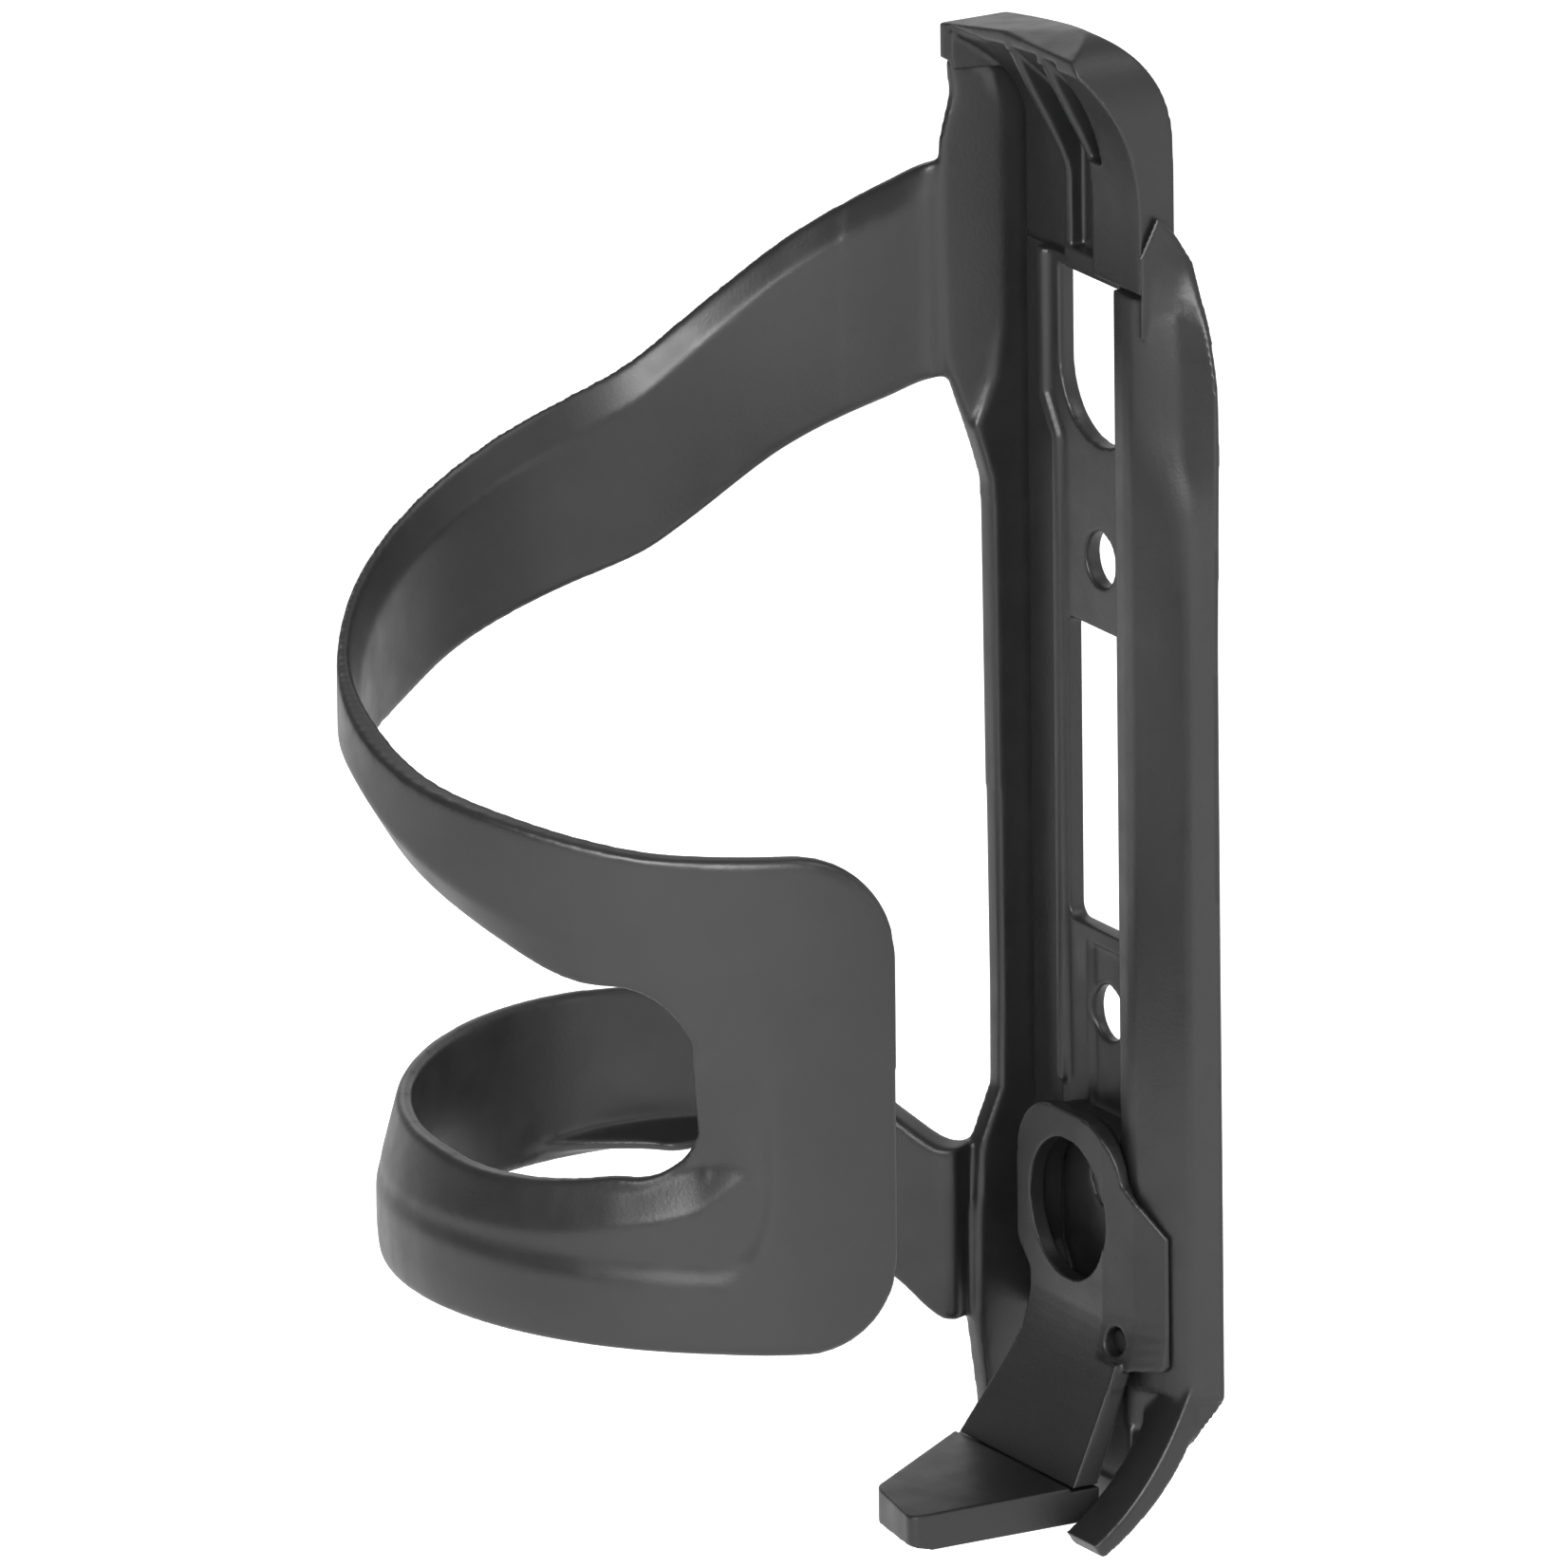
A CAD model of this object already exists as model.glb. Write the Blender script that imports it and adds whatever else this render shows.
# Water bottle cage: the looks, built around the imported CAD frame. Lengths below are millimetres, drawn
# about the bottle's axis with z = 0 on the cup's floor ledge, and moved to the shared frame at the end.
import math

import bmesh
import bpy
from mathutils import Matrix, Vector


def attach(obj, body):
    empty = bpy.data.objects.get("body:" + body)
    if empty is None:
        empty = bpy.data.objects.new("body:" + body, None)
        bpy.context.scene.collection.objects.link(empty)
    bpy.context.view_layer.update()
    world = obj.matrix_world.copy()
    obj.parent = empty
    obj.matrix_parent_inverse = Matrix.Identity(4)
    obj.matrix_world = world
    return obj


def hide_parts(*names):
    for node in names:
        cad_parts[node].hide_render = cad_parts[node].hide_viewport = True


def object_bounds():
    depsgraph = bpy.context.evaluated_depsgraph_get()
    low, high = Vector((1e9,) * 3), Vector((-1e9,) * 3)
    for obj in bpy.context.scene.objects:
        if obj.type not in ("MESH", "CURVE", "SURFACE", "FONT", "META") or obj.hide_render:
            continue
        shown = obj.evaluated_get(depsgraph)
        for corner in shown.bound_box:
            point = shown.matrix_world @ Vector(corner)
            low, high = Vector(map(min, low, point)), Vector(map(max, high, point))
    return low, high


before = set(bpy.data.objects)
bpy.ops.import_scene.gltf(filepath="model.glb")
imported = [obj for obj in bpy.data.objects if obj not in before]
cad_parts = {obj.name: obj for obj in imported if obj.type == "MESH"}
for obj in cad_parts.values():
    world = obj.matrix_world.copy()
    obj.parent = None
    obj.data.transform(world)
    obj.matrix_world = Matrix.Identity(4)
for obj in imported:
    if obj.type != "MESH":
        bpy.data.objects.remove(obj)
cad_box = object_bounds()

MM = 0.001
REAR_Y = 44.0
SHIFT = Vector((0, -REAR_Y, -33.2))  # from the bottle's axis to the shared frame

scene = bpy.context.scene

# ---- camera -------------------------------------------------------------------------------
AZIMUTH = math.radians(59.9)
ELEVATION = math.radians(16.7)
ROLL = math.radians(0.68)
DISTANCE = 3500
VIEW_WIDTH = 162.8  # millimetres seen across the picture at the bottle's axis
AIM = Vector((0, 0, 40))
AIM_OFFSET = (3.05, 7.29)  # the picture's centre lies this far right of and above the aim point
SENSOR = 36
CLIP_END = 20  # metres


def add_camera():
    sin_a, cos_a = math.sin(AZIMUTH), math.cos(AZIMUTH)
    sin_e, cos_e = math.sin(ELEVATION), math.cos(ELEVATION)
    back = Vector((sin_a * cos_e, -cos_a * cos_e, sin_e))
    level_right = Vector((cos_a, sin_a, 0))
    level_up = back.cross(level_right)
    right = level_right * math.cos(ROLL) - level_up * math.sin(ROLL)
    up = level_up * math.cos(ROLL) + level_right * math.sin(ROLL)
    centre = AIM + right * AIM_OFFSET[0] + up * AIM_OFFSET[1]
    data = bpy.data.cameras.new("camera")
    data.sensor_width = SENSOR
    data.lens = SENSOR * DISTANCE / VIEW_WIDTH
    data.clip_end = CLIP_END
    camera = bpy.data.objects.new("camera", data)
    scene.collection.objects.link(camera)
    place = (centre + back * DISTANCE + SHIFT) * MM
    turn = Matrix((right, up, back)).transposed().to_4x4()
    camera.matrix_world = Matrix.Translation(place) @ turn
    scene.camera = camera


# ---- floor and light, in metres -----------------------------------------------------------
FLOOR_BELOW = 0.09  # gap under the part
FLOOR_REACH = 6
FLOOR_SEEN = 0.62  # the floor's glow to the camera
FLOOR_GLOW = 0.24  # and to the plastic that mirrors it
BRIGHT_SIDE = (0.5, 0.86, 0.1)  # direction in which the surroundings are bright
SKY_LOW = 0.12  # their brightness the other way
SKY_HIGH = 0.95  # and on the bright side
SKY_TURN = (-0.9, 0.05)  # cosine of the angle to that direction where the rise starts and ends
SKY_TOP = 0.5  # share of that brightness straight overhead
SKY_TOP_TURN = (0.35, 0.8)  # height on a unit sphere where the fall to that share starts and ends
LAMPS_AIM = Vector((0, -0.03, 0))
LAMP_DISTANCE = 1.2
# Each lamp's name, direction from the part, width and height, and power in watts.
LAMPS = [
    ("key", (0.57, -0.68, 0.5), (0.8, 0.65), 20),
    ("side", (0.85, 0.45, 0.0), (0.5, 0.8), 1.2),
    ("top", (0.33, 0.31, 0.875), (0.55, 0.55), 2.6),
    ("left", (-0.83, 0.15, 0.54), (0.45, 0.45), 1.0),
]


def add_floor():
    """A pale floor, whose own glow is stronger to the camera than to the plastic that mirrors it."""
    low = cad_box[0][2] - FLOOR_BELOW
    mesh = bpy.data.meshes.new("floor")
    s = FLOOR_REACH
    mesh.from_pydata([(-s, -s, low), (s, -s, low), (s, s, low), (-s, s, low)], [], [(0, 1, 2, 3)])
    floor = bpy.data.objects.new("floor", mesh)
    scene.collection.objects.link(floor)
    material = bpy.data.materials.new("floor_white")
    material.use_nodes = True
    shader = material.node_tree.nodes["Principled BSDF"]
    shader.inputs["Base Color"].default_value = (0.9, 0.9, 0.9, 1)
    shader.inputs["Roughness"].default_value = 0.9
    shader.inputs["Emission Color"].default_value = (1, 1, 1, 1)
    ray = material.node_tree.nodes.new("ShaderNodeLightPath")
    glow = material.node_tree.nodes.new("ShaderNodeMix")
    glow.inputs["A"].default_value = FLOOR_GLOW
    glow.inputs["B"].default_value = FLOOR_SEEN
    material.node_tree.links.new(ray.outputs["Is Camera Ray"], glow.inputs["Factor"])
    material.node_tree.links.new(glow.outputs["Result"], shader.inputs["Emission Strength"])
    mesh.materials.append(material)


def add_area(name, direction, size, power):
    data = bpy.data.lights.new(name, "AREA")
    data.shape = "RECTANGLE"
    data.size, data.size_y = size
    data.energy = power
    lamp = bpy.data.objects.new(name, data)
    scene.collection.objects.link(lamp)
    toward = Vector(direction).normalized()
    lamp.location = LAMPS_AIM + toward * LAMP_DISTANCE
    lamp.rotation_euler = toward.to_track_quat("Z", "Y").to_euler()


def add_world():
    """White surroundings, brighter from the camera's right; the background itself is seen plain white."""
    world = bpy.data.worlds.new("studio")
    world.use_nodes = True
    tree = world.node_tree
    background = tree.nodes["Background"]
    background.inputs["Color"].default_value = (1, 1, 1, 1)
    where = tree.nodes.new("ShaderNodeTexCoord")
    toward = tree.nodes.new("ShaderNodeVectorMath")
    toward.operation = "DOT_PRODUCT"
    toward.inputs[1].default_value = BRIGHT_SIDE
    tree.links.new(where.outputs["Generated"], toward.inputs[0])
    level = tree.nodes.new("ShaderNodeMapRange")
    level.inputs["From Min"].default_value, level.inputs["From Max"].default_value = SKY_TURN
    level.inputs["To Min"].default_value = SKY_LOW
    level.inputs["To Max"].default_value = SKY_HIGH
    tree.links.new(toward.outputs["Value"], level.inputs["Value"])
    height = tree.nodes.new("ShaderNodeSeparateXYZ")
    tree.links.new(where.outputs["Generated"], height.inputs[0])
    dim = tree.nodes.new("ShaderNodeMapRange")
    dim.inputs["From Min"].default_value, dim.inputs["From Max"].default_value = SKY_TOP_TURN
    dim.inputs["To Min"].default_value = 1
    dim.inputs["To Max"].default_value = SKY_TOP
    tree.links.new(height.outputs["Z"], dim.inputs["Value"])
    dimmed = tree.nodes.new("ShaderNodeMath")
    dimmed.operation = "MULTIPLY"
    tree.links.new(level.outputs["Result"], dimmed.inputs[0])
    tree.links.new(dim.outputs["Result"], dimmed.inputs[1])
    ray = tree.nodes.new("ShaderNodeLightPath")
    choose = tree.nodes.new("ShaderNodeMix")
    choose.inputs["B"].default_value = 1.0
    tree.links.new(ray.outputs["Is Camera Ray"], choose.inputs["Factor"])
    tree.links.new(dimmed.outputs["Value"], choose.inputs["A"])
    tree.links.new(choose.outputs["Result"], background.inputs["Strength"])
    scene.world = world


def add_light():
    add_world()
    for lamp in LAMPS:
        add_area(*lamp)


# ---- small helpers ------------------------------------------------------------------------
def clamp(t):
    return max(0.0, min(1.0, t))


def ease(t):
    t = clamp(t)
    return t * t * (3 - 2 * t)


def along(points):
    """A smooth curve through (at, value) pairs, flat beyond both ends."""
    count = len(points)
    slope = [0.0] * count
    for i in range(1, count - 1):
        before, after = points[i - 1], points[i + 1]
        slope[i] = (after[1] - before[1]) / (after[0] - before[0])

    def value(at):
        if at <= points[0][0]:
            return points[0][1]
        if at >= points[-1][0]:
            return points[-1][1]
        i = next(k for k in range(count) if points[k][0] > at) - 1
        (a, va), (b, vb) = points[i], points[i + 1]
        width = b - a
        t = (at - a) / width
        blend = t * t * (3 - 2 * t)
        tangents = width * t * (1 - t) * ((1 - t) * slope[i] - t * slope[i + 1])
        return va * (1 - blend) + vb * blend + tangents

    return value


def spread(low, high, count):
    return [low + (high - low) * i / (count - 1) for i in range(count)]


def arc(x, y, radius, start, end, count=24):
    return [(x + radius * math.cos(math.radians(a)), y + radius * math.sin(math.radians(a)))
            for a in spread(start, end, count)]


def bezier(*corners, count=14):
    """Points along a Bezier curve of any degree."""
    def point(t):
        row = [Vector(c) for c in corners]
        while len(row) > 1:
            row = [a.lerp(b, t) for a, b in zip(row, row[1:])]
        return tuple(row[0])
    return [point(t) for t in spread(0, 1, count)]


def solid(points, faces):
    """A closed body as a new object, faces outward."""
    mesh = bpy.data.meshes.new("solid")
    mesh.from_pydata(points, [], faces)
    bm = bmesh.new()
    bm.from_mesh(mesh)
    bmesh.ops.remove_doubles(bm, verts=bm.verts, dist=1e-4)
    bmesh.ops.recalc_face_normals(bm, faces=bm.faces)
    bm.to_mesh(mesh)
    bm.free()
    obj = bpy.data.objects.new("solid", mesh)
    scene.collection.objects.link(obj)
    return obj


PLANES = {
    "xy": lambda a, b, w: (a, b, w),
    "yz": lambda a, b, w: (w, a, b),
    "xz": lambda a, b, w: (a, w, b),
}


def prism(plane, outline, low, high):
    """An outline drawn in two of the axes, between two places on the third."""
    count = len(outline)
    place = PLANES[plane]
    points = [place(a, b, w) for w in (low, high) for a, b in outline]
    sides = [(i, (i + 1) % count, (i + 1) % count + count, i + count) for i in range(count)]
    caps = [tuple(range(count)), tuple(range(count, 2 * count))]
    return solid(points, sides + caps)


def block(x, y, z):
    return prism("xy", [(x[0], y[0]), (x[1], y[0]), (x[1], y[1]), (x[0], y[1])], *z)


def loft(sections):
    """A closed body through a row of sections, each a closed loop of the same number of points."""
    count = len(sections[0])
    points = [p for section in sections for p in section]
    faces = []
    for i in range(len(sections) - 1):
        for j in range(count):
            k = (j + 1) % count
            faces.append((i * count + j, i * count + k, (i + 1) * count + k, (i + 1) * count + j))
    last = (len(sections) - 1) * count
    faces.append(tuple(range(count)))
    faces.append(tuple(range(last, last + count)))
    return solid(points, faces)


def settle(obj):
    """The object's modifiers applied to its mesh."""
    graph = bpy.context.evaluated_depsgraph_get()
    mesh = bpy.data.meshes.new_from_object(obj.evaluated_get(graph), depsgraph=graph)
    obj.modifiers.clear()
    obj.data = mesh
    return obj


def combine(base, operation, tools):
    for tool in tools:
        modifier = base.modifiers.new("combine", "BOOLEAN")
        modifier.operation = operation
        modifier.solver = "MANIFOLD"
        modifier.object = tool
    settle(base)
    for tool in tools:
        bpy.data.objects.remove(tool)
    return base


def join(base, *tools):
    return combine(base, "UNION", tools)


def cut(base, *tools):
    return combine(base, "DIFFERENCE", tools)


def meet(base, *tools):
    return combine(base, "INTERSECT", tools)


def gather(objects):
    """Overlapping bodies in one mesh, for the remesh to merge."""
    bm = bmesh.new()
    for obj in objects:
        bm.from_mesh(obj.data)
        bpy.data.objects.remove(obj)
    mesh = bpy.data.meshes.new("gathered")
    bm.to_mesh(mesh)
    bm.free()
    obj = bpy.data.objects.new("gathered", mesh)
    scene.collection.objects.link(obj)
    return obj


MOST_TRIANGLES = 190000


def moulded(obj, name, voxel, passes):
    """One skin round the drawn body, with every edge and corner softened as a mould leaves it."""
    remesh = obj.modifiers.new("skin", "REMESH")
    remesh.mode = "VOXEL"
    remesh.voxel_size = voxel
    soften = obj.modifiers.new("soften", "SMOOTH")
    soften.factor = 0.5
    soften.iterations = passes
    settle(obj)
    triangles = 2 * len(obj.data.polygons)
    if triangles > MOST_TRIANGLES:
        thin = obj.modifiers.new("thin", "DECIMATE")
        thin.ratio = MOST_TRIANGLES / triangles
        settle(obj)
    obj.data.transform(Matrix.Scale(MM, 4) @ Matrix.Translation(SHIFT))
    obj.data.polygons.foreach_set("use_smooth", [True] * len(obj.data.polygons))
    obj.name = name
    obj.data.name = name
    return obj


# ---- driving dimensions, as in the CAD model ------------------------------------------------
BOTTLE_R = 37.0
ARM_WALL = 2.6
RAIL_X = (-18.9, -16.1)
RAIL_Y = 38.4
HOOK_X = -18.0  # inner face at the front of the hook, which leans in to the rail behind it
RAIL_TOP = 116.2
RAIL_BOTTOM = -32.5
SIDE_REAR_Y = 45.0
PLATE_Y = 42.0
GROOVE_Y = 42.6
FLANGE_X = 7.2
FLANGE_Y = 39.5
CHANNEL_LEFT = RAIL_X[1] + 0.4
CHANNEL_BOTTOM = -20.7
CHANNEL_TOP = 96.65
UPPER_BOLT_Z = 65.2
LOWER_BOLT_Z = 1.2
SLOT_Z = (LOWER_BOLT_Z - 3.6, LOWER_BOLT_Z + 0.4)  # centres of the lower slot's two round ends
SPARE_BOLT_Z = 15.7
BOLT_HOLE_R = 3.0
COVER_Y = 37.2
COVER_T = 1.9
ACCESS_Z = -4.8
ACCESS_R = 7.6
COVER_R = 10.2
PIN_X, PIN_Z, PIN_R = 9.4, -17.0, 1.3
CAP_BOTTOM = 97.0
CAP_CROWN = 124.0
CAP_NEAR_X = 12.5
FOOT_TOP = -31.5
FOOT_T = 4.1

# ---- the arm shell ------------------------------------------------------------------------
# Heights of the upper band's two edges and of the cup ring's two edges, by degrees round the bottle.
band_top = along([(118, 105.3), (128, 102.4), (144, 95.7), (160, 86.8), (168, 82.5), (176, 79.9),
                  (192, 75.9), (224, 67.1), (240, 62.2), (256, 58.3), (272, 55.5), (288, 54), (320, 51.4)])
band_low = along([(118, 81.8), (128, 79), (144, 73.2), (160, 65), (168, 61.7), (184, 58.5), (200, 55.4),
                  (216, 51.8), (232, 50.4), (244, 49.8), (256, 48.3), (272, 44.1), (288, 40.4),
                  (306, 37.2)])
RING_LOW = -2.2
RING_TOP = 14.6
ring_top = along([(117, -2), (126, 0.6), (158, RING_TOP - 0.3), (262, 14.2), (279, 13.8), (291, 14.2),
                  (299, 14.9), (309, 15.9)])
ring_low = along([(117, -21), (126, -17.4), (160, RING_LOW)])
band_inner = along([(130, BOTTLE_R), (180, BOTTLE_R + 1.6), (240, BOTTLE_R + 3.5), (285, BOTTLE_R + 2.4),
                    (325, BOTTLE_R + 0.8)])
# The two long chamfers: on the band's inner face under its top edge, and on its outer face above its
# lower edge.
top_chamfer = along([(118, 0.5), (135, 1.7), (235, 1.7), (262, 0)])
low_chamfer = along([(195, 0), (222, 2.0), (280, 2.0), (308, 0)])
CHAMFER_H = 3.8
NOTCH = (309, 322, 26)  # degrees where the gap starts to close and is closed, and its height there
WALL_END = 351
STEP = 0.7  # degrees between the arm's sections
EDGE_R = 0.45  # round on the long edges of the arm
ROWS = 84  # points up each face of a section

# The cup's outer face, up from its lower edge: a border, a shallow recess and a sloping shoulder.
BORDER_R = 39.85
WALL_R = 40.2
RECESS = 0.55
RECESS_LOW = 4.8
RECESS_END = 332.5  # degrees, where the recess ends at the near side wall
RECESS_CORNER = 12
RECESS_SLOPE = 2.8  # width of the slope round it
RECESS_END_STEEP = 1.9  # how much narrower that slope is at the upright end
RECESS_FADE = (22, 10)  # height where the recess starts to fade out upward, and over how much
shoulder_low = along([(250, 7.6), (292, 9.1), (306, 10.9), (320, 13.1), (329, 16.9)])
shoulder_high = along([(309, RING_TOP), (320, 17.4), (329, 18)])
shoulder_depth = along([(285, 1.8), (300, 1.9), (310, 1.6), (320, 1.8), (331, 0)])


def wall_radius(degrees, radius, x):
    """Radius of an upright wall face that leaves the rail's plane x and turns to follow the bottle."""
    turn_width = 4
    if degrees > 135:
        return radius
    rail = x / math.cos(math.radians(degrees))
    return (rail + radius + math.sqrt((rail - radius) ** 2 + turn_width)) / 2


def recess_depth(degrees, z):
    up = z - RECESS_LOW
    left = math.radians(RECESS_END - degrees) * BORDER_R * RECESS_END_STEEP
    corner = RECESS_CORNER
    if up < corner and left < corner:
        inside = corner - math.hypot(corner - up, corner - left)
    else:
        inside = min(up, left)
    start, reach = RECESS_FADE
    return RECESS * ease(inside / RECESS_SLOPE) * (1 - ease((z - start) / reach))


def shoulder(degrees, z):
    """How far the sloping shoulder above the recess is set in."""
    low, high = shoulder_low(degrees), shoulder_high(degrees)
    if z <= high:
        share = clamp((z - low) / (high - low))
    else:
        share = 1 - ease((z - high) / 11)
    return shoulder_depth(degrees) * share


def outer_radius(degrees, z):
    """The cup's face low down, the band's higher up; side is where the near side wall begins."""
    side = ease((degrees - 318) / 16)
    foot = 0.3 * clamp((2 - z) / 4) ** 2 * (1 - side)
    cup = BORDER_R + (WALL_R - BORDER_R) * side - foot - recess_depth(degrees, z) - shoulder(degrees, z)
    band = band_inner(degrees) + ARM_WALL
    rise = ease((z - 20) / 16)
    return cup * (1 - rise) + band * rise


def inner_radius(degrees, z):
    cup = BOTTLE_R - 1.1 + 1.7 * ease((degrees - 306) / 26)
    rise = ease((z - 16) / 16)
    return cup * (1 - rise) + band_inner(degrees) * rise


def round_place(degrees, radius, z):
    turn = math.radians(degrees)
    return (radius * math.cos(turn), radius * math.sin(turn), z)


def rounding(near):
    """How far a wall's face is set in by the round on its edge, this near to the edge."""
    reach = clamp(1 - near / EDGE_R)
    return EDGE_R * (1 - math.sqrt(1 - reach * reach))


def arm_section(degrees, low, high, low_cut=0.0, top_cut=0.0, inner_x=RAIL_X[1]):
    heights = spread(low, high, ROWS)
    inner, outer = [], []
    for z in heights:
        edge = rounding(min(z - low, high - z))
        r_in = inner_radius(degrees, z) + top_cut * clamp((z - high + CHAMFER_H) / CHAMFER_H) + edge
        r_out = outer_radius(degrees, z) - low_cut * clamp((low + CHAMFER_H - z) / CHAMFER_H) - edge
        inner.append(round_place(degrees, wall_radius(degrees, r_in, inner_x), z))
        outer.append(round_place(degrees, wall_radius(degrees, r_out, RAIL_X[0]), z))
    return inner + outer[::-1]


def notch_close(degrees):
    reach = clamp((degrees - NOTCH[0]) / (NOTCH[1] - NOTCH[0]))
    return 1 - math.sqrt(1 - reach * reach)


def stations(start, end):
    return spread(start, end, int((end - start) / STEP) + 2)


def band():
    sections = []
    for degrees in stations(115.5, NOTCH[1]):
        close = notch_close(degrees)
        low = band_low(degrees) * (1 - close) + NOTCH[2] * close
        sections.append(arm_section(degrees, low, band_top(degrees), low_chamfer(degrees),
                                    top_chamfer(degrees), HOOK_X))
    return loft(sections)


def ring():
    sections = []
    for degrees in stations(116, NOTCH[1]):
        close = notch_close(degrees)
        top = ring_top(degrees) * (1 - close) + NOTCH[2] * close
        sections.append(arm_section(degrees, ring_low(degrees), top))
    return loft(sections)


def side_wall():
    """The near side wall, with its two corners at the free upright edge rounded."""
    top_r, low_r, mean = 11, 10, 40

    def corner(degrees, radius):
        reach = radius - math.radians(WALL_END - degrees) * mean
        return radius - math.sqrt(max(0, radius * radius - reach * reach)) if reach > 0 else 0

    sections = []
    for degrees in stations(NOTCH[1] - 1.5, WALL_END):
        low = RING_LOW + corner(degrees, low_r)
        sections.append(arm_section(degrees, low, band_top(degrees) - corner(degrees, top_r)))
    return loft(sections)


def ledge():
    """The cup's floor ledge, whose width changes round the bottle."""
    width = along([(150, 0.8), (158, 6), (167, 8), (172, 6.1), (178, 4.2), (184, 2.4), (190, 1.4),
                   (198, 0.9), (216, 0.9), (236, 4.4), (333, 4.4), (345, 0.8)])
    sections = []
    for degrees in stations(150, 345):
        lip, wall = BOTTLE_R - width(degrees), BOTTLE_R + 0.6
        sections.append([round_place(degrees, wall, -2), round_place(degrees, wall, 0.9),
                         round_place(degrees, lip, 0), round_place(degrees, lip, -0.95)])
    return loft(sections)


def rail():
    """The shell's straight far edge, thinned towards the front beside the hook."""
    front = [(RAIL_Y + 0.6, 14), (RAIL_Y + 0.5, 4), (36.4, -2), (35.9, -10), (35.7, -21)]
    front.append((37.2, RAIL_BOTTOM))
    rear = [(42, RAIL_BOTTOM), (SIDE_REAR_Y, -24), (SIDE_REAR_Y, RAIL_TOP)]
    hook = [(34.8, RAIL_TOP)] + bezier((35.1, 112.8), (35.1, 110.8), (33.9, 109.3), (33.7, 106), count=8)
    throat = bezier((34, 84.5), (34.6, 80.5), (36.6, 77), (RAIL_Y, 70), count=8)
    bar = prism("yz", front + rear + hook + throat, *RAIL_X)
    inner = RAIL_X[1]
    slant = [(HOOK_X - 0.1, 33), (inner, 40.4), (inner + 1, 40.4), (inner + 1, 33)]
    lean = prism("xy", slant, 60, RAIL_TOP + 1)
    reach = [(32, 74), (36.6, 76.6), (39, 82), (40.5, 90), (40.5, 109), (39.9, 112), (39, 114.3)]
    reach += [(37.1, 116.9), (32, 122)]
    return cut(bar, meet(lean, prism("yz", reach, -25, -10)))


def arm_shell():
    whole = gather([band(), ring(), side_wall(), ledge(), rail()])
    return moulded(whole, "arm_shell_skin", voxel=0.34, passes=13)


# ---- the spine channel --------------------------------------------------------------------
near_rear_x = along([(-20, 19.6), (0, 19.6), (57, 19.5), (75, 19.9), (82, 20), (88.5, 19.7), (94.3, 17.9),
                     (98, 15.7), (103.5, 13.3), (106, 13.2)])


def near_section(z):
    """The near flange and side wall: a box corner low down, a plain slope under the hook."""
    front = ease((84.5 - z) / 13)
    side = ease((79 - z) / 13)
    filled = ease((z - 55) / 10)
    rear = near_rear_x(z)
    crease = (12.6 + 4.5 * front, 39.6 + 1.2 * front)
    slope = Vector(((crease[0] + rear) / 2 - 0.4, 42.5))
    middle = tuple(slope.lerp(Vector((18.4, 43)), side))
    outline = [(FLANGE_X, PLATE_Y + 1.9), (FLANGE_X, FLANGE_Y), (9.5, FLANGE_Y - 0.3)]
    outline += bezier((11.3, FLANGE_Y - 0.3), crease, middle, count=7)
    outline += [(rear, SIDE_REAR_Y - 0.6), (rear - 0.5, SIDE_REAR_Y), (rear - 2.2, SIDE_REAR_Y)]
    for x, y in ((rear - 3, 42.7), (min(12.2, rear - 4), 41.4), (9.4, 41.9), (9.2, 43.9)):
        outline.append((x, y + (REAR_Y - y) * filled))
    return [(x, y, z) for x, y in outline]


def near_wall():
    heights = spread(CHANNEL_BOTTOM - 1.3, 66, 30) + spread(67.5, CHANNEL_TOP, 24)
    return loft([near_section(z) for z in heights])


def near_tip():
    """The tip of the side wall, which laps the side of the hook cap."""
    outline = [(39.6, 92.5), (39.4, 97), (39.3, 101.4), (41.5, 105.6)]
    outline += [(43.8, 103.2), (45, 100.5), (45, 92.5)]
    inner = CAP_NEAR_X + 0.3
    sections = []
    for z in spread(92.5, 106, 16):
        rear = max(near_rear_x(z), inner + 0.5)
        grow = ease((z - 93) / 7)
        edge = inner + 0.15 + 0.4 * grow
        sections.append([(inner, 38, z), (edge, 38, z), (edge, 40.4, z),
                         ((inner + rear) / 2 - 0.6 + grow, 42.7, z), (rear - 0.2 + 0.2 * grow, 44.4, z),
                         (rear - 0.2 + 0.2 * grow, 46, z), (inner, 46, z)])
    return meet(loft(sections), prism("yz", outline, 10, 22))


def plate():
    """The bolt plate, the deeper groove beside it, and the raised lip between them with its jog."""
    lip_y, jog = PLATE_Y - 0.75, (76.5, 80.5)
    left_high, left_low, lip_w = -11.7, -8.9, 1.7
    floor = [(CHANNEL_LEFT, REAR_Y), (CHANNEL_LEFT, GROOVE_Y), (left_low, GROOVE_Y), (left_low, PLATE_Y),
             (FLANGE_X + 0.5, PLATE_Y), (FLANGE_X + 0.5, REAR_Y)]
    body = prism("xy", floor, CHANNEL_BOTTOM, CHANNEL_TOP)
    step = prism("xz", [(left_high, jog[1]), (left_low, jog[0]), (-6, jog[0]), (-6, CHANNEL_TOP),
                        (left_high, CHANNEL_TOP)], PLATE_Y, PLATE_Y + 1)
    lip_outline = [(left_high, CHANNEL_TOP), (left_high, jog[1]), (left_low, jog[0]), (left_low, 6.5),
                   (left_low + 1.4, 6.5), (left_low + 1.4, jog[0] + 0.6),
                   (left_high + lip_w, jog[1] + 0.6), (left_high + lip_w, CHANNEL_TOP)]
    lip = prism("xz", lip_outline, lip_y, PLATE_Y + 0.5)
    return join(body, step, lip)


def disc(x, z, radius, low=30, high=50, count=40):
    return prism("xz", arc(x, z, radius, 0, 360 * (1 - 1 / count), count), low, high)


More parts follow.
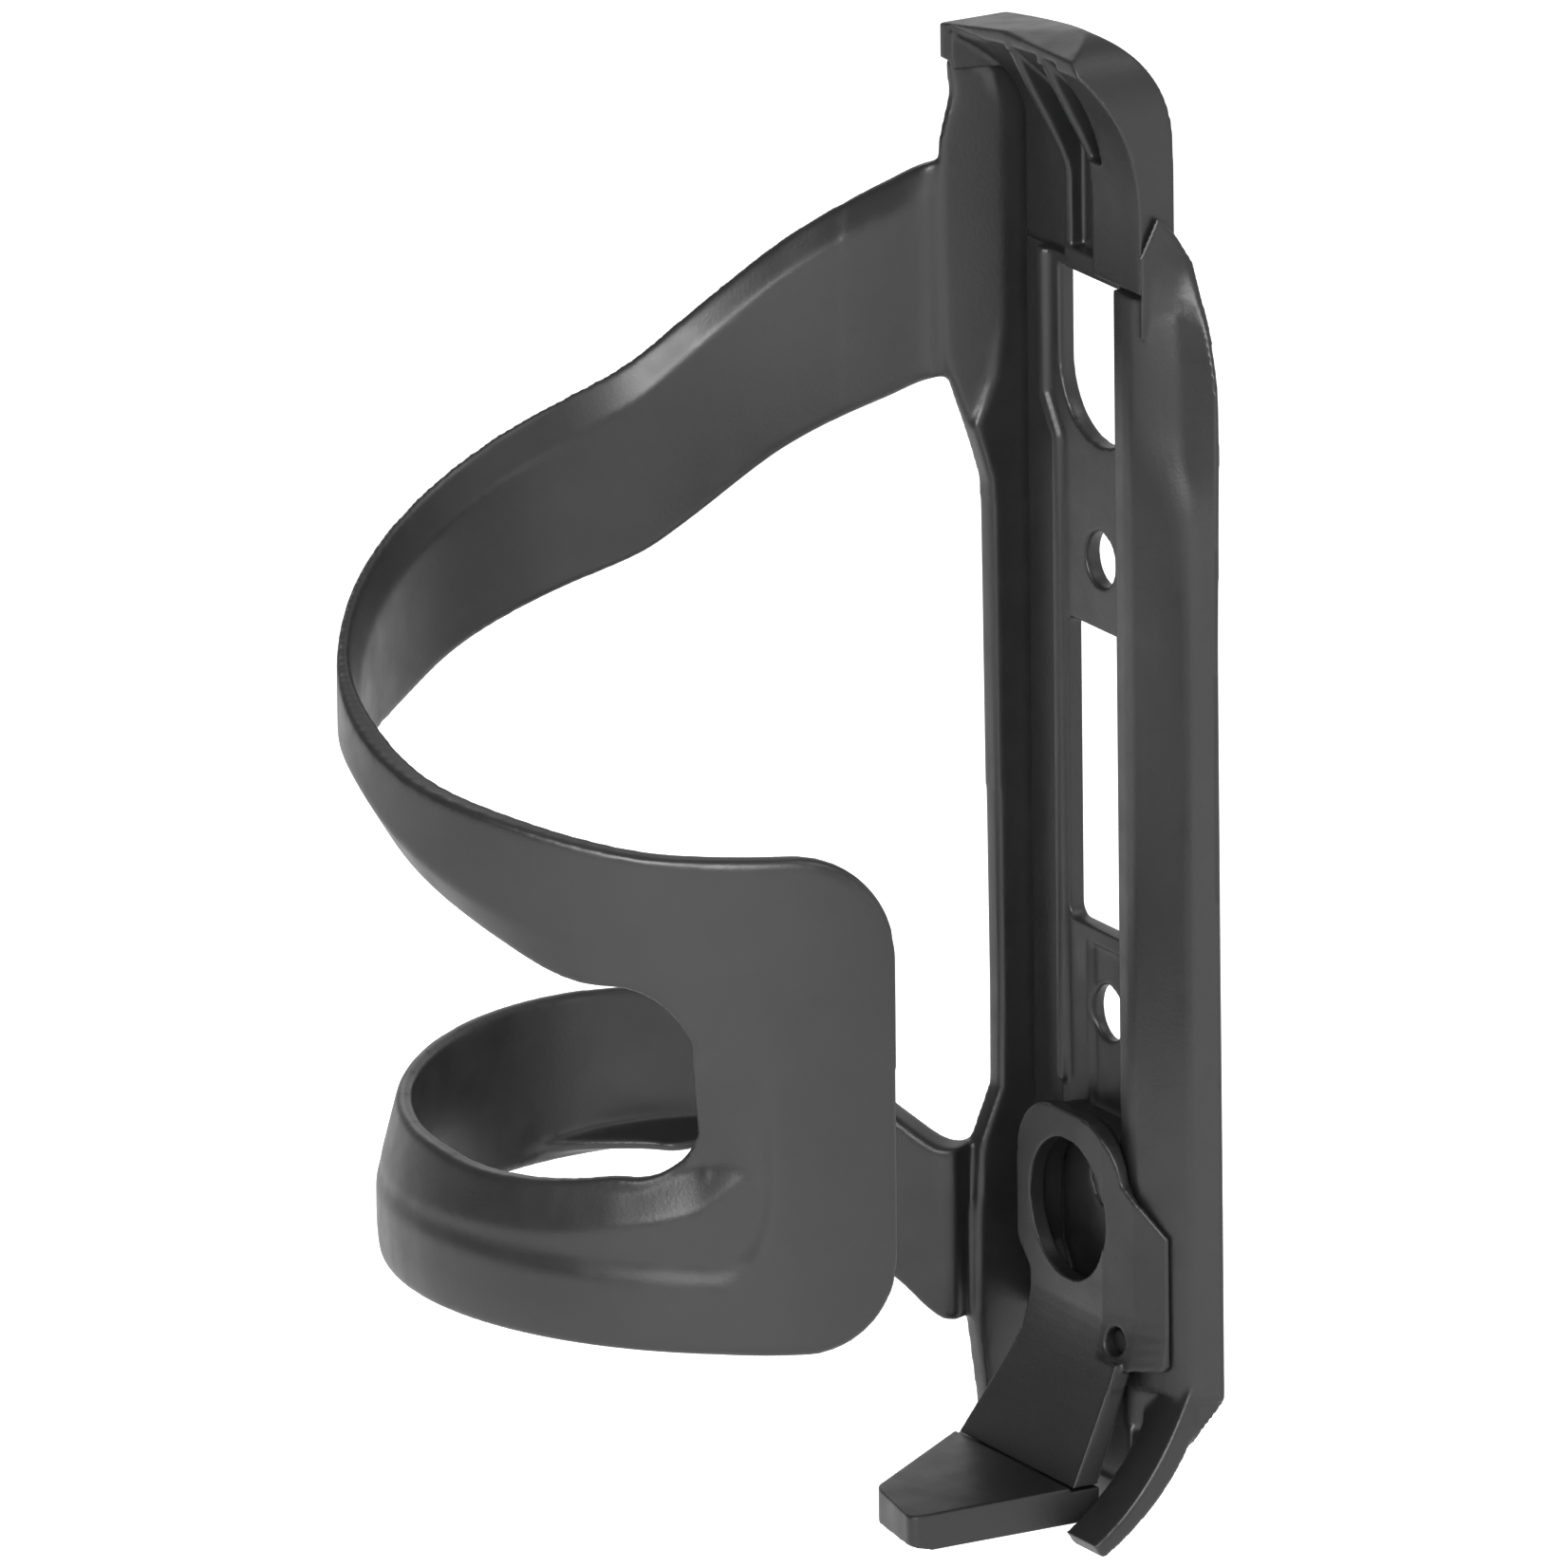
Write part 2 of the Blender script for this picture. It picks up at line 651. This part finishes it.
def heel():
    """The curved leg that carries the side wall's line down beside the ramp."""
    outer = bezier((44, CHANNEL_BOTTOM + 1.5), (43.4, -25.5), (39.4, -32.6), (31, -37.6), count=14)
    inner = bezier((30, -36), (35.6, -32.2), (39, -27.4), (42.4, CHANNEL_BOTTOM + 1.5), count=14)
    return prism("yz", outer + inner, 11.4, 17.6)


def wall_foot():
    """The side wall's lower end, sloping in to the heel."""
    def level(z, near, front, rear):
        return [(11.6, front, z), (near - 2.9, front, z), (near - 1.2, front + 1.8, z), (near, rear, z),
                (11.6, rear, z)]
    return loft([level(CHANNEL_BOTTOM + 1, 19.3, 41.6, SIDE_REAR_Y - 0.2),
                 level(CHANNEL_BOTTOM - 1.7, 19.2, 41.3, SIDE_REAR_Y - 0.2),
                 level(CHANNEL_BOTTOM - 6.8, 16.9, 39.9, 42)])


def spine_channel():
    window_one = arc(0, 85.5, 7.9, 180, 360) + [(7.9, 95.6), (-7.9, 95.6)]
    window_one = [(min(x, FLANGE_X), z) for x, z in window_one]
    window_two = [(-6.9, 25.6), (-6, 24.7), (FLANGE_X, 24.7), (FLANGE_X, 57.5), (-6.2, 57.5), (-6.9, 56.8)]
    slot = arc(0, SLOT_Z[1], BOLT_HOLE_R, 0, 180) + arc(0, SLOT_Z[0], BOLT_HOLE_R, 180, 360)
    pocket = [(-3.2, 5), (FLANGE_X, 5), (FLANGE_X, 21.4), (5.7, 22.9), (-3.2, 22.9)]
    body = join(plate(), near_wall(), near_tip())
    cut(body,
        prism("xz", window_one, 41, 50), prism("xz", window_two, 41, 50), prism("xz", slot, 41, 50),
        prism("xz", pocket, 40, PLATE_Y + 0.5),
        disc(0, UPPER_BOLT_Z, BOLT_HOLE_R, 41), disc(0, SPARE_BOLT_Z, BOLT_HOLE_R, 41),
        disc(PIN_X, PIN_Z, PIN_R + 0.3, 30, 42))
    ribs = [block((9.3, 16), (42, REAR_Y - 0.4), (z, z + 1.6)) for z in (-4, 16, 36, 52)]
    # The wall behind the cover's ramp, from the plate down to the foot.
    top = CHANNEL_BOTTOM + 0.5
    web = block((-9, 10.4), (38.6, 40.2), (-34, -26.5))
    slant = prism("xy", [(-9, 38.6), (9.4, 38.6), (12.4, 41), (12.4, 41.6), (-9, 41.6)], -27, top)
    fill = block((12, 16.2), (41.2, 42.6), (-24, top))
    web_end = block((1.5, 9), (38.4, 39.8), (-35.8, -33))
    base = block((-9, 12), (40, 42.5), (CHANNEL_BOTTOM - 1.5, CHANNEL_BOTTOM + 0.6))
    whole = gather([body, heel(), wall_foot(), web, slant, web_end, fill, base, *ribs])
    return moulded(whole, "spine_channel_skin", voxel=0.3, passes=6)


# ---- the hook cap -------------------------------------------------------------------------
def hook_cap():
    """The hood: a rounded block, hollowed from the front round its two ribs."""
    left, right, crown = RAIL_X[0], CAP_NEAR_X, CAP_CROWN
    back = [(30, CAP_BOTTOM - 2), (REAR_Y, CAP_BOTTOM - 2)]
    back += bezier((REAR_Y, 114), (REAR_Y, 119), (41.5, 122.6), (38.5, crown - 0.1), count=16)
    back += bezier((38.5, crown - 0.1), (37, crown - 0.1), (35.2, 122.7), (32, 121.2), count=10)[1:]
    back.append((30, 120.2))
    arch = [(left, RAIL_TOP + 0.1), (left, 120.1)]
    arch += bezier((left, 120.1), (-6, 122.4), (4, crown), count=12)[1:]
    arch += bezier((4, crown), (9.6, crown - 0.3), (right, 119), (right, 110), count=20)[1:]
    arch += [(right, CAP_BOTTOM), (CHANNEL_LEFT, CAP_BOTTOM), (CHANNEL_LEFT, RAIL_TOP + 0.1)]
    front = [(39.7, CAP_BOTTOM - 1), (39.7, 104)]
    front += bezier((39.7, 105), (39.6, 112.4), (37.4, 116.8), (33.9, 120.8), count=16)
    front += [(33.9, crown + 1), (46, crown + 1), (46, CAP_BOTTOM - 1)]
    plan = [(left - 1, 34.3), (right + 1, 33.9), (right + 1, 46), (left - 1, 46)]
    top = prism("xy", plan, 90, crown + 2)
    block_out = meet(prism("xz", arch, 33, 46), prism("yz", back, -22, 22), top)
    far_side = block((left - 1, 2.6), (30, 47), (90, crown + 2))
    near = meet(block_out, join(prism("yz", front, 2.5, right + 2), far_side))

    def recess(x0, x1, depth, low, tip0, tip1):
        """The hollow beside a rib: open at the front, its back wall curling forward to the tip."""
        ends = []
        for x, tip in ((x0, tip0), (x1, tip1)):
            outline = [(28, low), (depth, low), (depth, 108)]
            outline += bezier((depth, 109), (depth, 113.6), (38.6, 117), (34.2, tip), count=14)
            outline.append((28, tip + 0.6))
            ends.append([(x, y, z) for y, z in outline])
        return loft(ends)

    sill = CAP_BOTTOM + 1.3
    rib_front = [(20, CAP_BOTTOM - 4), (41.3, CAP_BOTTOM - 4), (41.2, 105.5)]
    rib_front += bezier((41, 107), (39.6, 111), (36.6, 115.4), (34.2, 121.1), count=14) + [(20, 121.1)]
    ribs = meet(prism("yz", rib_front, -17.4, 2.65), block((-17.4, 2.65), (20, 42), (90, 120.4)))
    body = cut(near,
               recess(-17.6, -5.3, depth=42.7, low=CAP_BOTTOM - 3, tip0=119.4, tip1=121),
               recess(-4.1, 1.4, depth=42.9, low=sill, tip0=121, tip1=121.3),
               recess(2.6, 5.4, depth=43, low=109.6, tip0=121.2, tip1=121.3),
               ribs)
    # Below, a lap over the plate's top edge, and a tongue down into the plate's thickness.
    lap = block((-5.2, 6.2), (41, 41.6), (CAP_BOTTOM - 1, sill))
    tongue = block((-15.6, -4.6), (42.95, 43.8), (CHANNEL_TOP - 0.7, CAP_BOTTOM + 0.9))
    # A lining inside the far wall, whose lip hangs down behind the seam with the rail.
    lip_plan = [(-17.5, 34.6), (-16, 39.8), (-15.3, 39.8), (-16.8, 34.6)]
    lip = prism("xy", lip_plan, RAIL_TOP - 0.9, RAIL_TOP + 1)
    wall = [(left + 0.2, 34.5), (left + 0.2, 39.8), (-15.3, 39.8), (-16.8, 34.5)]
    under_roof = [(33, 115), (39.8, 115), (39.3, 117), (37.6, 118.5), (35.8, 119.4), (33, 119.4)]
    lining = meet(prism("xy", wall, RAIL_TOP + 0.3, 121), prism("yz", under_roof, -20, -14))
    body = gather([body, lap, lip, lining, tongue])
    return moulded(body, "hook_cap_skin", voxel=0.24, passes=6)


# ---- the access cover ---------------------------------------------------------------------
def access_cover():
    """A skin with a curved ramp below and a bent wing on the near side, and the skirt behind it."""
    front, back, low = COVER_Y, COVER_Y + COVER_T, FOOT_TOP - 0.1
    ramp = [(front, 8), (front, -14)]
    ramp += bezier((front, -15), (36.6, -19.5), (34.2, -24.4), (31.2, low), count=12)
    ramp += bezier((34.2, low), (36.2, -25.8), (38.6, -20.6), (back, -15), count=12) + [(back, 8)]
    face = arc(3.2, -1.2, 7, 12, 90, 16) + arc(-3.2, -1.2, 7, 90, 180, 16)
    face += [(-COVER_R, -10.3), (-9.9, -11), (-7.9, -13), (-7.6, -14), (-7.8, -20), (-12.5, low)]
    face += [(11, low), (11.1, -22), (11.5, -20.2), (12.4, -19.5), (15.2, -19.3), (15.6, -18.7)]
    face += [(15.6, -4.6), (12.4, -1.6)]
    wings = []
    for z, drop in ((8, 0), (-14, 0), (-15.6, 0.12), (-17, 0.4), (-18.2, 0.7), (-19.6, 1.1)):
        wings.append([(7.1, front - drop, z), (7.1, 39.15, z), (12, 38.95, z), (15.6, 40.6, z),
                      (15.6, 40.05 - drop / 3, z), (12, 38.3 - drop, z)])
    lower_block = block((7, 11.2), (28, 45), (-34, -18.9))
    face_prism = prism("xz", face, 25, REAR_Y)
    flat = meet(prism("yz", ramp, -13.5, 7.3), block((-14, 7.3), (20, 45), (-34, 8)))
    wing = loft(wings)
    lower = cut(meet(prism("yz", ramp, 7.1, 11.2), lower_block), block((6.9, 14), (39, 45), (-19.6, 9)))
    skin = meet(join(flat, wing, lower), face_prism)
    inner = FLANGE_X - 0.35
    wall = arc(2.9, -1.2, 6.7, 55, 90, 6) + arc(-2.9, -1.2, 6.7, 90, 180, 12)
    wall += [(0.3 - COVER_R, -10.5), (-7.4, -14), (-7.4, -18), (inner, -18), (inner, 4)]
    hollow = arc(0, ACCESS_Z, COVER_R - 2, 0, 180) + [(2 - COVER_R, -11), (-5.8, -15), (-5.8, -16.4)]
    hollow += [(inner - 1.6, -16.4), (inner - 1.6, -11)]
    skirt = cut(prism("xz", wall, front + 0.8, PLATE_Y - 0.35), prism("xz", hollow, front, 46))
    whole = cut(join(skin, skirt), disc(0, ACCESS_Z, ACCESS_R, 25, 50, 56),
                disc(PIN_X, PIN_Z, PIN_R + 0.2, 25, 50))
    return moulded(whole, "access_cover_skin", voxel=0.2, passes=6)


# ---- the foot tab and the pin -------------------------------------------------------------
def foot_tab():
    """The flat tongue, tapered on the far side and straight on the near side."""
    near_x, back, root = 11, 34.4, 30.9
    plan = [(near_x, back), (-14.2, back), (-14.6, 33.4), (-1.4, 15.2)]
    plan += bezier((-1.2, 14.9), (-0.4, 14), (1.2, 13.7), count=7)
    plan += [(near_x - 1.8, 11.9)] + bezier((near_x - 1.6, 11.85), (near_x, 11.6), (near_x, 13.4), count=7)
    low = FOOT_TOP - FOOT_T
    side = [(10, FOOT_TOP), (root, FOOT_TOP), (root, FOOT_TOP - 0.5), (back, FOOT_TOP - 0.5),
            (back, low + 0.3), (33.6, low), (14, low + 0.2), (10, low + 1.2)]
    whole = meet(prism("xy", plan, FOOT_TOP - 6, FOOT_TOP + 1), prism("yz", side, -20, 20))
    return moulded(whole, "foot_tab_skin", voxel=0.2, passes=5)


def cover_pin():
    """A round pin with its head's edge rounded."""
    profile = ((37.95, 0.5), (37.95, 1.0), (38.05, 1.22), (38.25, PIN_R), (41, PIN_R), (41.4, 0.9))
    sections = []
    for y, radius in profile:
        sections.append([(x, y, z) for x, z in arc(PIN_X, PIN_Z, radius, 0, 352.5, 48)])
    pin = loft(sections)
    pin.data.transform(Matrix.Scale(MM, 4) @ Matrix.Translation(SHIFT))
    pin.name = "cover_pin_skin"
    return pin


# ---- materials ----------------------------------------------------------------------------
CLOUD_DARK, CLOUD_LIGHT = 0.86, 1.14  # the cloudiness, as shares of the plain colour
WORN = 1.9  # a rubbed edge, the same way
EDGE_START, EDGE_FULL = 0.53, 0.6  # pointiness where the rubbing starts and is full
EDGE_SHARE = 0.45  # how much of the rubbed colour shows there
GRAIN_HEIGHT = 0.00006  # metres
DULL_SHINE = 0.15  # the pin's mirror strength, far under plain plastic's 0.5


def plastic(name, colour, roughness, grain, seed):
    """Moulded plastic: fine mould texture, faint cloudiness, and edges rubbed a little lighter."""
    material = bpy.data.materials.new(name)
    material.use_nodes = True
    tree = material.node_tree
    nodes, links = tree.nodes, tree.links
    shader = nodes["Principled BSDF"]
    where = nodes.new("ShaderNodeTexCoord")

    def noise(scale, detail, offset):
        shifted = nodes.new("ShaderNodeVectorMath")
        shifted.operation = "ADD"
        shifted.inputs[1].default_value = (offset, seed, -offset)
        links.new(where.outputs["Object"], shifted.inputs[0])
        texture = nodes.new("ShaderNodeTexNoise")
        texture.inputs["Scale"].default_value = scale
        texture.inputs["Detail"].default_value = detail
        links.new(shifted.outputs[0], texture.inputs["Vector"])
        return texture.outputs["Fac"]

    def remap(source, low, high, to_low, to_high):
        node = nodes.new("ShaderNodeMapRange")
        for key, value in (("From Min", low), ("From Max", high), ("To Min", to_low), ("To Max", to_high)):
            node.inputs[key].default_value = value
        links.new(source, node.inputs["Value"])
        return node.outputs["Result"]

    def mix(factor, first, second):
        node = nodes.new("ShaderNodeMix")
        node.data_type = "RGBA"
        links.new(factor, node.inputs["Factor"])
        for socket, value in ((node.inputs[6], first), (node.inputs[7], second)):
            if isinstance(value, tuple):
                socket.default_value = (*value, 1)
            else:
                links.new(value, socket)
        return node.outputs[2]

    cloud = noise(55, 4, 1.7)
    fine = noise(2600, 3, 4.1)
    scuff = noise(240, 6, 8.3)
    dark = tuple(c * CLOUD_DARK for c in colour)
    light = tuple(c * CLOUD_LIGHT for c in colour)
    body = mix(remap(cloud, 0.35, 0.65, 0, 1), dark, light)
    geometry = nodes.new("ShaderNodeNewGeometry")
    edge = remap(geometry.outputs["Pointiness"], EDGE_START, EDGE_FULL, 0, EDGE_SHARE)
    worn = mix(edge, body, tuple(c * WORN for c in colour))
    links.new(worn, shader.inputs["Base Color"])
    links.new(remap(scuff, 0.3, 0.7, roughness - 0.05, roughness + 0.06), shader.inputs["Roughness"])
    bump = nodes.new("ShaderNodeBump")
    bump.inputs["Strength"].default_value = grain
    bump.inputs["Distance"].default_value = GRAIN_HEIGHT
    links.new(fine, bump.inputs["Height"])
    links.new(bump.outputs["Normal"], shader.inputs["Normal"])
    return material


ARM_PLASTIC = plastic("arm_plastic", (0.0105, 0.0105, 0.011), 0.36, 0.25, 3.1)
SPINE_PLASTIC = plastic("spine_plastic", (0.0085, 0.0085, 0.009), 0.4, 0.35, 7.7)
COVER_PLASTIC = plastic("cover_plastic", (0.0075, 0.0075, 0.008), 0.42, 0.35, 5.2)
PIN_PLASTIC = plastic("pin_plastic", (0.006, 0.006, 0.006), 0.5, 0.2, 9.4)
PIN_PLASTIC.node_tree.nodes["Principled BSDF"].inputs["Specular IOR Level"].default_value = DULL_SHINE

# ---- the pieces ---------------------------------------------------------------------------
# What makes each piece, the body it rides on, the node it replaces, its slot, and its material.
PIECES = [
    (arm_shell, "arm", "arm_shell", "arm_plastic", ARM_PLASTIC),
    (spine_channel, "spine", "spine_channel", "spine_plastic", SPINE_PLASTIC),
    (hook_cap, "spine", "hook_cap", "spine_plastic", SPINE_PLASTIC),
    (access_cover, "spine", "access_cover", "cover_plastic", COVER_PLASTIC),
    (foot_tab, "foot", "foot_tab", "cover_plastic", COVER_PLASTIC),
    (cover_pin, "spine", "cover_pin", "pin_plastic", PIN_PLASTIC),
]

add_camera()
add_floor()
add_light()
scene.view_settings.view_transform = "Standard"

for make, body, node, slot, material in PIECES:
    piece = make()
    piece.data.materials.clear()
    piece.data.materials.append(material)
    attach(piece, body)
    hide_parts(node)


bpy.context.view_layer.update()
